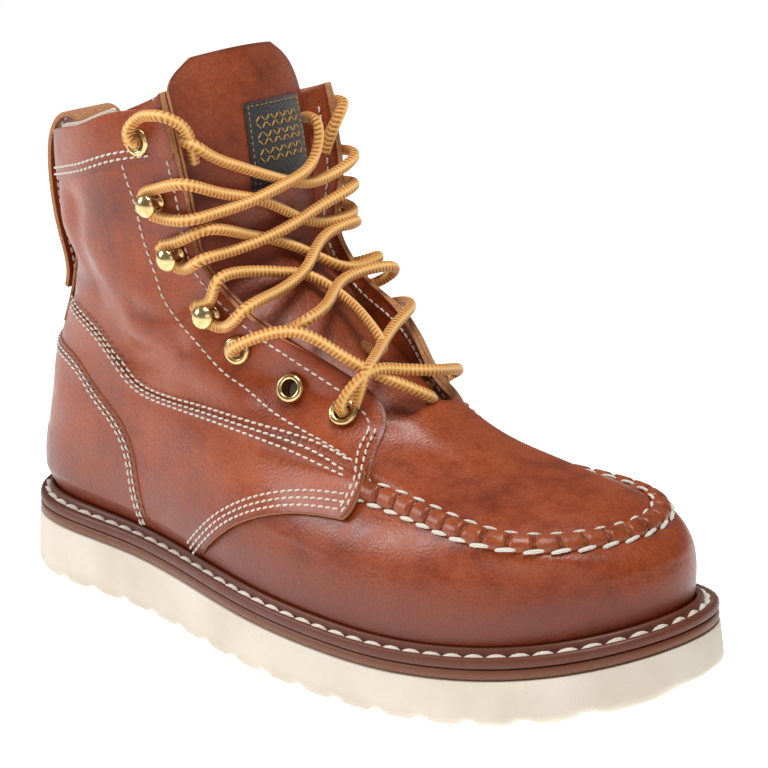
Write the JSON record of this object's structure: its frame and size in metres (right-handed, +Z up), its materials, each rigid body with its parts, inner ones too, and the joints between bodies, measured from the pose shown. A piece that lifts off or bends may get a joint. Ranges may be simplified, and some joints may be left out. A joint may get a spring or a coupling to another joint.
{
  "type": "wedge sole work boot",
  "caption": "Right ankle-high lace-up work boot with a raised moc-toe seam, hooks and eyelets, pull loop, welt and pale rubber wedge sole, standing empty.",
  "frame": {"origin": "on the floor, under the middle of the bounding box", "axes": "+X to the toe, -Y to the outer side of the foot, +Z up"},
  "size_m": [0.309, 0.113, 0.209],
  "materials": {
    "cream_rubber": "matt blown rubber, off-white",
    "edge_leather": "dyed and waxed edge, satin",
    "leather": "oil-tanned full grain, satin with soft creases",
    "lining": "matt pale lining",
    "woven_label": "plain woven black",
    "brass": "polished pale brass",
    "lace_cord": "braided golden cord with dark flecks"
  },
  "bodies": {
    "root": {"outsole": "cream_rubber", "midsole": "edge_leather", "welt": "edge_leather", "insole": "lining", "upper": "leather", "tongue": "leather", "tongue_label": "woven_label", "pull_loop": "leather", "eyelet_1_outer": "brass", "eyelet_1_inner": "brass", "eyelet_2_outer": "brass", "eyelet_2_inner": "brass", "eyelet_3_outer": "brass", "eyelet_3_inner": "brass", "eyelet_4_outer": "brass", "eyelet_4_inner": "brass", "hook_1_outer": "brass", "hook_1_inner": "brass", "hook_2_outer": "brass", "hook_2_inner": "brass", "hook_3_outer": "brass", "hook_3_inner": "brass", "laces": "lace_cord", "lace_end_outer": "lace_cord", "lace_end_inner": "lace_cord"}
  },
  "joints": []
}
